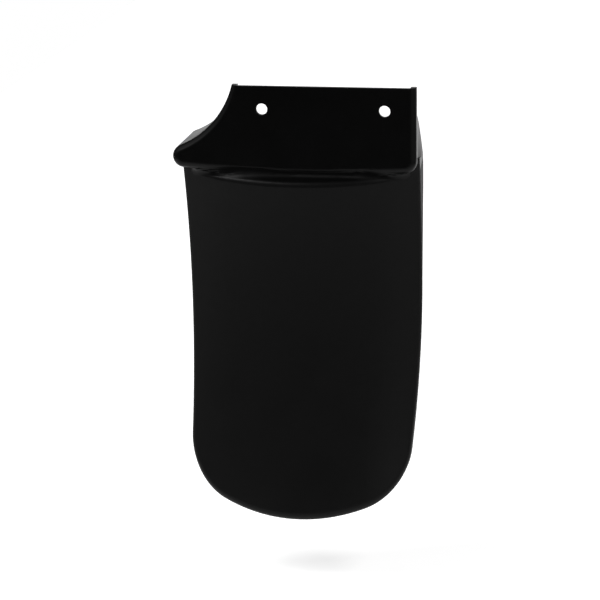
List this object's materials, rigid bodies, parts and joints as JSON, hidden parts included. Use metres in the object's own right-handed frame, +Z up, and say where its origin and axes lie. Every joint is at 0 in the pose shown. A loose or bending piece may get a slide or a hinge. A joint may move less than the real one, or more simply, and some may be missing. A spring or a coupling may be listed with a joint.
{
  "type": "motorcycle shock mud flap",
  "caption": "Moulded black flap that shields a motorcycle's rear shock from mud: a flat plate with bolt holes, and a bulged, rounded panel hanging below it.",
  "frame": {"origin": "midway between the two bolt holes, on the plate's rear seating face", "axes": "+X along the row of holes, away from the scooped side; +Y out of the seating face, away from the rear tyre; +Z up"},
  "size_m": [0.1408, 0.0735, 0.2482],
  "materials": {
    "black_plastic": "satin, as moulded"
  },
  "bodies": {
    "root": {"mud_flap": "black_plastic"}
  },
  "joints": []
}
